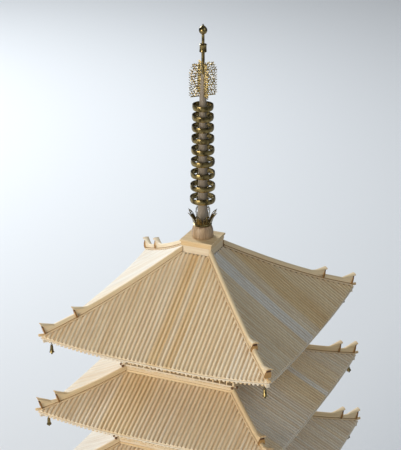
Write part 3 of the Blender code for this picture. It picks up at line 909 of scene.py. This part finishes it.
def bay_doors(shape, turn, half, width, low, high):
    """A pair of plank doors with a frame and battens."""
    face = half + 0.1
    leaf = width / 2 - 0.7
    for hand in (-1, 1):
        centre = hand * (leaf / 2 + 0.08)
        upright(shape, turn, (face - 0.2, centre), low, high, (0.7, leaf))
        upright(shape, turn, (face + 0.5, hand * (width / 2 - 0.4)), low, high, (1.4, 0.9))
        for level in (0.12, 0.5, 0.88):
            box(shape, (face + 0.25, centre, low + (high - low) * level), (0.4, leaf - 0.5, 0.9), turn)
        upright(shape, turn, (face + 0.35, hand * 0.5), low + 0.5, high - 0.5, (0.4, 0.5))
    box(shape, (face + 0.4, 0.0, high), (1.3, width, 1.0), turn)


def make_body(storey):
    shape = Shape()
    half = body_half(storey)
    base = PODIUM_HEIGHT if storey == 1 else balcony_floor(storey)
    top = column_top(storey)
    third = half / 3
    bay = 2 * third - 2 * COLUMN_RADIUS
    wide = 2 * (half - 1.2) / WALL_BOARDS
    low = base + SILL_HEIGHT + 1.0
    high = top - 2.6
    window_low = low + (0.38 * (high - low) if storey == 1 else 2.0)
    for side in range(4):
        turn = 90 * side
        for place in spread_out(WALL_BOARDS, wide):
            upright(shape, turn, (half - 1.4, place), base, top, (1.2, wide - 0.04))
        bay_doors(shape, turn, half - 0.6, bay, low - 0.8, high)
        for aside in (-2 * third, 2 * third):
            bay_window(shape, turn, half - 0.8, aside, bay, window_low, high - 0.8)
            box(shape, (half - 0.5, aside, window_low - 1.6), (0.9, bay, 1.2), turn)
        side_beam(shape, side, half + 0.6, base + SILL_HEIGHT / 2, (2.6, 2 * half + 4.4, SILL_HEIGHT))
        side_beam(shape, side, half + 0.9, high + 1.0, (1.6, 2 * half + 4.0, 1.6))
        side_beam(shape, side, half + 0.3, top + PLATE_HEIGHT / 2, (5.4, 2 * half + 6.6, PLATE_HEIGHT))
        if storey == 1:
            side_beam(shape, side, half + 0.9, window_low - 1.6, (1.6, 2 * half + 4.0, 1.5))
    spots = (-half, -third, third, half)
    for x, y in [(x, y) for x in spots for y in spots if half in (abs(x), abs(y))]:
        lathe(shape, [(COLUMN_RADIUS * 0.96, top), (COLUMN_RADIUS, base + 0.5 * (top - base)),
                      (COLUMN_RADIUS, base + 1.0)], 20, (x, y, 0.0), None, board_tone(0.5))
    finish_wood(f"body_{storey}", "wood", shape, 0.1)


def bearing_block(shape, place, low, turn, wide, tall):
    """A block whose lower half narrows, as under every bracket arm."""
    box(shape, (*place, low + 0.3 * tall), (wide, wide, 0.6 * tall), turn, taper=0.68)
    box(shape, (*place, low + 0.78 * tall), (wide, wide, 0.45 * tall), turn)


def bracket_levels(storey):
    """Heights of the foot of the bracket sets, of the top of the purlins, and of one step."""
    base = column_top(storey) + PLATE_HEIGHT
    purlin_top = lower_underside(storey, purlin_place(storey)) - 0.3
    return base, purlin_top, (purlin_top - PURLIN_HEIGHT - base) / BRACKET_STEPS


def bracket_set(shape, storey, turn, aside, spread):
    """A three-step bracket set; spread is the square root of two at a corner."""
    half = body_half(storey)
    base, purlin_top, tier = bracket_levels(storey)
    tall = 0.48 * tier
    bearing_block(shape, (half * spread, aside), base, turn, 3.6, 0.55 * tier)
    for step in range(BRACKET_STEPS):
        low = base + tier * (step + 0.35)
        end = (half + (step + 1) * BRACKET_STEP) * spread
        box(shape, ((half * spread + end) / 2 - 1.0, aside, low + tall / 2),
            (end - half * spread + 4.0, 1.5, tall), turn)
        bearing_block(shape, (end, aside), low + tall, turn, 2.4, tier - tall)
        if spread == 1.0:
            for reach in (end - BRACKET_STEP, end):
                box(shape, (reach, aside, low + tall / 2), (1.5, 9.0, crossing(tall, 1)), turn)
                for offset in (-3.6, 3.6):
                    bearing_block(shape, (reach, aside + offset), low + tall, turn, 2.2, tier - tall)
    if spread != 1.0:
        place = ((half + 2.2 * BRACKET_STEP) * spread, 0.0, purlin_top - 0.5)
        box(shape, place, (16.0, 1.6, 2.2), turn, TAIL_SLOPE)


def make_brackets(storey):
    shape = Shape()
    half = body_half(storey)
    base, purlin_top, tier = bracket_levels(storey)
    wall_top = purlin_top + 3.0
    middle = half + (BRACKET_STEPS - 0.5) * BRACKET_STEP
    for side in range(4):
        turn = 90 * side
        for aside in (-half / 3, half / 3):
            bracket_set(shape, storey, turn, aside, 1.0)
        bracket_set(shape, storey, turn + 45.0, 0.0, ROOT2)
        for aside in (2.0 - half, half - 2.0):
            for step in range(BRACKET_STEPS):
                place = (half + (step + 1) * BRACKET_STEP, aside, base + tier * (step + 0.59))
                box(shape, place, (1.5, 8.0, crossing(0.48 * tier, 1 + side % 2)), turn)
        side_beam(shape, side, half - 0.4, (base + wall_top) / 2, (0.8, 2 * half - 0.8, wall_top - base))
        for step in range(1, BRACKET_STEPS + 1):
            reach = half + step * BRACKET_STEP
            outermost = step == BRACKET_STEPS
            tall = PURLIN_HEIGHT if outermost else 0.42 * tier
            low = purlin_top - PURLIN_HEIGHT if outermost else base + tier * (step - 0.1)
            side_beam(shape, side, reach, low + tall / 2, (1.6, 2 * reach + 4.0, tall), 3)
            side_beam(shape, side, half + 0.3, low + 0.2 * tier, (1.4, 2 * half + 2.6, 0.42 * tier), 3)
        for aside in spread_out(int(2 * purlin_place(storey) / SLAT_PITCH), SLAT_PITCH):
            if abs(aside) < middle:
                place = (middle, aside, purlin_top - PURLIN_HEIGHT - 0.2)
                box(shape, place, (BRACKET_STEP, 0.6, 0.6), turn, 20.0)
    finish_wood(f"brackets_{storey}", "wood", shape, 0.08)


# Balconies
def upturned_rail(shape, turn, reach, start, end, level, thick):
    """A rail whose outer end curves gently upward past the corner."""
    matrix = turned(turn)
    loops = []
    steps = 16
    for step in range(steps + 1):
        share = step / steps
        along = start + (end - start) * share
        past = max(0.0, (abs(along) - abs(end) + 5.0) / 5)
        rise = 0.9 * past * past
        loops.append([matrix @ Vector((reach + a * thick, along, level + rise + b * thick))
                      for a, b in ((-0.5, -0.5), (0.5, -0.5), (0.5, 0.5), (-0.5, 0.5))])
    burn_and_shade = [0.0] * (4 * (steps - 1)) + [0.4] * 4 + [1.0] * 4
    loft(shape, loops, None, burn_and_shade)


def make_balcony(storey):
    shape = Shape()
    half = balcony_half(storey)
    floor = balcony_floor(storey)
    edge = half + 0.7
    end = half + RAIL_OVERRUN
    posts = int((half - RAIL_OPENING) / RAIL_PITCH)
    spacing = (half - RAIL_OPENING) / posts
    for side in range(4):
        turn = 90 * side
        odd = side % 2
        for place in spread_out(2 * int(half / FLOOR_BOARD) + 1, FLOOR_BOARD):
            start = max(body_half(storey) - 1.0, abs(place))
            box(shape, ((start + edge) / 2, place, floor - 0.45),
                (edge - start, FLOOR_BOARD - 0.06, crossing(0.9, odd)), turn)
        side_beam(shape, side, half - 0.6, floor - 1.0, (1.6, 2 * half, 0.7))
        side_beam(shape, side, half, floor + 0.6, (1.3, 2 * end, 1.2))
        for hand in (-1, 1):
            upturned_rail(shape, turn, half, hand * RAIL_OPENING, hand * end, floor + 4.6, crossing(0.9, odd))
            upturned_rail(shape, turn, half, hand * (RAIL_OPENING - 0.6), hand * (end + 0.8),
                          floor + TOP_RAIL_Z, crossing(1.25, odd))
            box(shape, (half, hand * (end - 0.5), floor + 0.6), (1.5, 1.3, 1.4), turn, tone=0.6, burn_and_shade=0.8)
            for post in range(posts):
                aside = hand * (RAIL_OPENING + post * spacing)
                box(shape, (half, aside, floor + 2.7), (0.95, 0.95, 3.6), turn)
                box(shape, (half, aside, floor + 6.4), (0.8, 0.8, 3.2), turn)
                box(shape, (half, aside, floor + TOP_RAIL_Z - 1.0), (1.3, 1.5, 0.7), turn, taper=0.7)
        box(shape, (half, half, floor + 4.0), (1.4, 1.4, 8.0), turn)
    finish_wood(f"balcony_{storey}", "wood", shape, 0.1)


# Podium
def make_podium():
    """A panelled base paved in courses, with a flight of steps between two cheeks on each side."""
    shape = Shape()
    half = PODIUM_HALF
    top = PODIUM_HEIGHT
    wide = 2 * half / PODIUM_PANELS
    riser = top / (STAIR_STEPS + 1)
    cheek = [(half, 0.0), (half + 20.0, 0.0), (half + 20.0, 3.0), (half + 4.0, 15.4), (half, 15.4)]
    for side in range(4):
        turn = 90 * side
        odd = side % 2
        box(shape, (half, 0.0, 1.25), (4.0, 2 * half + 4.0 - 8 * odd, 2.5), turn)
        box(shape, (half - 1.0, 0.0, top - 1.25), (6.0, 2 * half + 4.0 - 12 * odd, 2.5), turn)
        for aside in spread_out(PODIUM_PANELS, wide):
            box(shape, (half - 1.2, aside, top / 2), (2.0, wide - 0.1, top - 4.0), turn)
            box(shape, (half - 0.2, aside - wide / 2, top / 2), (1.6, 2.2, top - 4.0), turn)
        for course in range(int(half / COURSE_WIDTH)):
            inner = half - 4.0 - COURSE_WIDTH * course
            length = 2 * inner - 2 * COURSE_WIDTH * odd - 0.1
            if length > 0.0:
                box(shape, (inner - 3.9, 0.0, top - 0.6), (COURSE_WIDTH - 0.1, length, 1.2), turn)
        for step in range(STAIR_STEPS):
            depth = STAIR_TREAD * (STAIR_STEPS - step) + 4.0
            place = (half - 2.0 + depth / 2, 0.0, riser * (step + 0.5))
            box(shape, place, (depth, STAIR_WIDTH, riser - 0.06), turn)
        for hand in (-1, 1):
            stand = turned(turn) @ Matrix.Translation((0.0, hand * 12, 0.0))
            plate(shape, cheek, 2.6, stand @ turned(90.0, "X"))
    finish_wood("podium", "wood", shape, 0.2)


# Spire
def make_dew_basin():
    shape = Shape()
    base = roof_top_z(STOREYS)
    top = basin_top()
    box(shape, (0.0, 0.0, base + 7.6), (2 * TOP_ROOF_HALF, 2 * TOP_ROOF_HALF, 3.2), 0.0, 0.0, 0.9)
    box(shape, (0.0, 0.0, top - 0.7), (2 * BASIN_HALF, 2 * BASIN_HALF, 1.4), 0.0, 0.0, 0.8)
    finish_wood("dew_basin", "wood", shape, 0.25)


def make_dome():
    shape = Shape()
    base = basin_top()
    profile = []
    for step in range(13):
        share = 1.0 - step / 12
        radius = 6.2 + 1.35 * sin(radians(90 * (1.0 - share ** 1.6)))
        if step < 2:
            radius -= 0.25 * (2 - step)
        profile.append((radius, base + 0.6 + (DOME_HEIGHT - 0.6) * share))
    profile += [(7.3, base + 0.15), (7.0, base + 0.02)]
    lathe(shape, profile, 48)
    finish_piece("dome_wood", shape, BROWN, ["dome"])


def petal(shape, turn):
    """A petal that rises from the base ring and leans outward, fringed with short spikes."""
    base = basin_top() + DOME_HEIGHT + 1.7
    matrix = turned(turn)

    def place(across, up, out=0.0):
        share = up / PETAL_HEIGHT
        return matrix @ Vector((6.0 + 1.5 * share + 2.0 * share * share + out, across, base + up))

    arc = [pi * step / 16 for step in range(17)]
    rim = [(PETAL_HALF_WIDTH * cos(a), PETAL_HEIGHT * sin(a) ** 0.8) for a in arc]
    wire(shape, [place(across, up) for across, up in rim], 0.26, 5)
    loft(shape, [[place(0.8 * across, 0.74 * up, out) for across, up in rim] for out in (0.15, -0.15)], 0.5)
    for across, up in rim[3:14]:
        wire(shape, [place(across, up), place(1.32 * across, up + 0.5, 0.3)], 0.2, 4)
    for level in (0.8, 0.92):
        curl = [place(0.55 * cos(a), PETAL_HEIGHT * level + 0.5 * sin(a)) for a in round_angles(9)[:8]]
        wire(shape, curl, 0.18, 4)
    wire(shape, [place(0.0, PETAL_HEIGHT), place(0.0, PETAL_HEIGHT + 1.0, 0.4)], 0.24, 4)


def make_lotus():
    shape = Shape()
    base = basin_top() + DOME_HEIGHT
    lathe(shape, [(radius, base + height) for radius, height in LOTUS_BASE], 40)
    for number in range(PETALS):
        petal(shape, 360 * number / PETALS)
    finish_brass("lotus_petals", "brass", shape)


def shaft_radius(height):
    share = (height - DOME_HEIGHT) / (FLAME_BASE - 2.0 - DOME_HEIGHT)
    return SHAFT_RADIUS + (SHAFT_NECK - SHAFT_RADIUS) * min(share, 1.0)


def make_shaft():
    shape = Shape()
    base = basin_top()
    heights = [FLAME_BASE - 2.0 - 10.0 * step for step in range(9)]
    profile = [(SHAFT_TIP, base + SHAFT_TOP), (SHAFT_TIP + 0.45, base + SHAFT_TOP - 6.0),
               (SHAFT_NECK, base + FLAME_BASE)]
    profile += [(shaft_radius(height), base + height) for height in heights]
    profile.append((SHAFT_RADIUS, base + DOME_HEIGHT + 1.0))
    # The shaft takes the spire wood, darkened as painted shade
    lathe(shape, profile, 32, tone=0.1)
    finish_piece("spire_shaft_wood", shape, SPIRE_WOOD_AND_PAINTED_SHADE, ["spire_shaft"])


def ring_height(number):
    return FIRST_RING + sum(RING_SPACING - RING_SPACING_LOSS * step for step in range(number - 1))


def make_ring(number):
    """A bulging brass band held by curled spokes on a hub."""
    shape = Shape()
    middle = basin_top() + ring_height(number)
    share = (number - 1) / (RINGS - 1)
    outer = FIRST_RING_RADIUS + (LAST_RING_RADIUS - FIRST_RING_RADIUS) * share
    half = RING_HEIGHT / 2
    profile = []
    for step in range(7):
        rise = 1.0 - step / 3
        flare = 0.5 if rise < 0.0 else 0.2
        profile.append((outer - flare * rise * rise, middle + half * rise))
    profile += [(outer - 1.1, middle - half), (outer - 0.9, middle), (outer - 0.9, middle + half), profile[0]]
    lathe(shape, profile, 48)
    bore = shaft_radius(ring_height(number)) + 0.15
    lathe(shape, [(bore + 0.7, middle + 0.5), (bore + 0.8, middle - 0.5), (bore, middle - 0.5),
                  (bore, middle + 0.5), (bore + 0.7, middle + 0.5)], 32)
    for spoke in range(SPOKES):
        matrix = turned(360 * (spoke + 0.3 * (number % 3)) / SPOKES)
        arc = []
        for step in range(9):
            angle = pi * step / 8
            reach = bore + 0.6 + (outer - bore - 1.4) * step / 8
            arc.append(matrix @ Vector((reach, 0.9 * sin(angle), middle + 0.5 * sin(2 * angle))))
        wire(shape, arc, 0.26, 5)
    finish_brass(f"ring_{number}", "brass", shape)


def make_flame_panels():
    """Four upright openwork panels of small brass scrolls with a spiky rim."""
    shape = Shape()
    base = basin_top() + FLAME_BASE
    inner = SHAFT_NECK - 0.3
    for turn in CORNERS:
        matrix = turned(turn)

        def place(reach, up):
            return matrix @ Vector((reach, 0.0, base + up))

        wire(shape, [place(inner, 0.3), place(FLAME_REACH - 0.6, 0.3)], 0.34, 4)
        for row in range(int(FLAME_HEIGHT / SCROLL_PITCH)):
            up = 1.3 + row * SCROLL_PITCH
            rounding = max(0.0, up - (FLAME_HEIGHT - 6.0))
            limit = FLAME_REACH - 0.9 - 0.085 * rounding * rounding
            reach = inner + 0.5 + 0.5 * SCROLL_PITCH * (row % 2)
            while reach <= limit:
                spin = DRAW.uniform(0.0, 2 * pi)
                arc = [(0.95 - 0.05 * k, spin + 1.5 * pi * k / 8) for k in range(9)]
                wire(shape, [place(reach + r * cos(a), up + r * sin(a)) for r, a in arc], 0.33, 4)
                reach += SCROLL_PITCH
            wire(shape, [place(limit + 0.3, up), place(limit + 1.3, up + 0.7)], 0.22, 4)
        for spike in range(4):
            reach = inner + 0.8 + spike * 1.5
            wire(shape, [place(reach, FLAME_HEIGHT - 1.0), place(reach + 0.3, FLAME_HEIGHT + 0.3)], 0.2, 4)
    finish_brass("flame_panels", "brass", shape, FINE_BRASS)


def make_finial_tip():
    """A pointed jewel above a waisted block, on one rod."""
    shape = Shape()
    base = basin_top()
    jewel = base + JEWEL_HEIGHT
    block = base + BLOCK_HEIGHT
    profile = [(0.05, base + TIP_HEIGHT), (0.3, base + TIP_HEIGHT - 0.4), (0.8, jewel + 3.2),
               (1.5, jewel + 2.6)]
    for step in range(3, 14):
        angle = radians(12 + 156 * step / 14)
        profile.append((JEWEL_RADIUS * sin(angle), jewel + JEWEL_RADIUS * cos(angle)))
    profile.append((1.0, jewel - 3.0))
    profile += [(radius, block + height) for radius, height in BLOCK_PROFILE]
    profile += [(SHAFT_TIP, block - 3.0), (SHAFT_TIP, base + SHAFT_TOP - 0.5)]
    lathe(shape, profile, 32)
    finish_brass("finial_tip", "brass", shape)


# Stage, lights and camera
def make_stage():
    mesh = bpy.data.meshes.new("floor")
    corners = [(x * FLOOR_REACH, y * FLOOR_REACH, 0.0) for x, y in ((-1, -1), (1, -1), (1, 1), (-1, 1))]
    mesh.from_pydata(corners, [], [(0, 1, 2, 3)])
    nodes = Nodes("floor")
    nodes.surface(linear((218, 218, 220)), 0.9)
    mesh.materials.append(nodes.material)
    floor = new_object("floor", mesh)


def make_light(name, place, aim, size, power, colour):
    light = bpy.data.lights.new(name, "AREA")
    light.size = size
    light.energy = power
    light.color = colour
    holder = new_object(name, light)
    holder.location = place
    holder.rotation_euler = (Vector(aim) - Vector(place)).to_track_quat("-Z", "Y").to_euler()


def make_lights():
    aim = (0.0, 0.0, 0.3)
    make_light("key", (-1.6, 1.05, 1.3), aim, 0.8, 47.0, (0.9, 0.96, 1.0))
    make_light("front", (-0.75, -2.2, 0.8), aim, 1.2, 38.0, (1.0, 0.935, 0.83))
    make_light("fill", (1.8, -0.6, 1.75), aim, 2.0, 13.0, (0.82, 0.92, 1.0))
    world = bpy.data.worlds.new("studio")
    world.use_nodes = True
    background = world.node_tree.nodes["Background"]
    background.inputs["Color"].default_value = linear((214, 220, 226))
    background.inputs["Strength"].default_value = 0.2
    bpy.context.scene.world = world


def swung(first, second, angle):
    """Two unit vectors at right angles, both turned by this angle, the first towards the second."""
    cosine = cos(radians(angle))
    sine = sin(radians(angle))
    return cosine * first + sine * second, cosine * second - sine * first


def make_camera():
    azimuth = radians(CAMERA_AZIMUTH)
    elevation = radians(CAMERA_ELEVATION)
    level = cos(elevation)
    right = Vector((cos(azimuth), sin(azimuth), 0.0))
    back = Vector((sin(azimuth) * level, -cos(azimuth) * level, sin(elevation)))
    place = back * CAMERA_DISTANCE + Vector((0.0, 0.0, CAMERA_TARGET_Z))
    up, back = swung(back.cross(right), back, CAMERA_PITCH)
    right, back = swung(right, back, CAMERA_YAW)
    right, up = swung(right, up, CAMERA_ROLL)
    camera = bpy.data.cameras.new("photo_camera")
    camera.sensor_width = SENSOR_MM
    camera.lens = FOCAL_PX / FRAME_HEIGHT_PX * SENSOR_MM
    camera.clip_start = 0.05
    camera.clip_end = 50.0
    holder = new_object("photo_camera", camera)
    matrix = Matrix((right, up, back)).transposed().to_4x4()
    matrix.translation = place * MM
    holder.matrix_world = matrix
    bpy.context.scene.camera = holder


make_stage()
make_lights()
make_camera()
make_podium()
for level in range(1, STOREYS + 1):
    for make in (make_body, make_brackets, make_rafters, make_eave_boards, make_bells, make_roof,
                 make_ridges, make_skirts):
        make(level)
    if level > 1:
        make_balcony(level)
make_dew_basin()
make_dome()
make_lotus()
make_shaft()
for ring_number in range(1, RINGS + 1):
    make_ring(ring_number)
make_flame_panels()
make_finial_tip()

bpy.context.scene.view_settings.view_transform = "Standard"
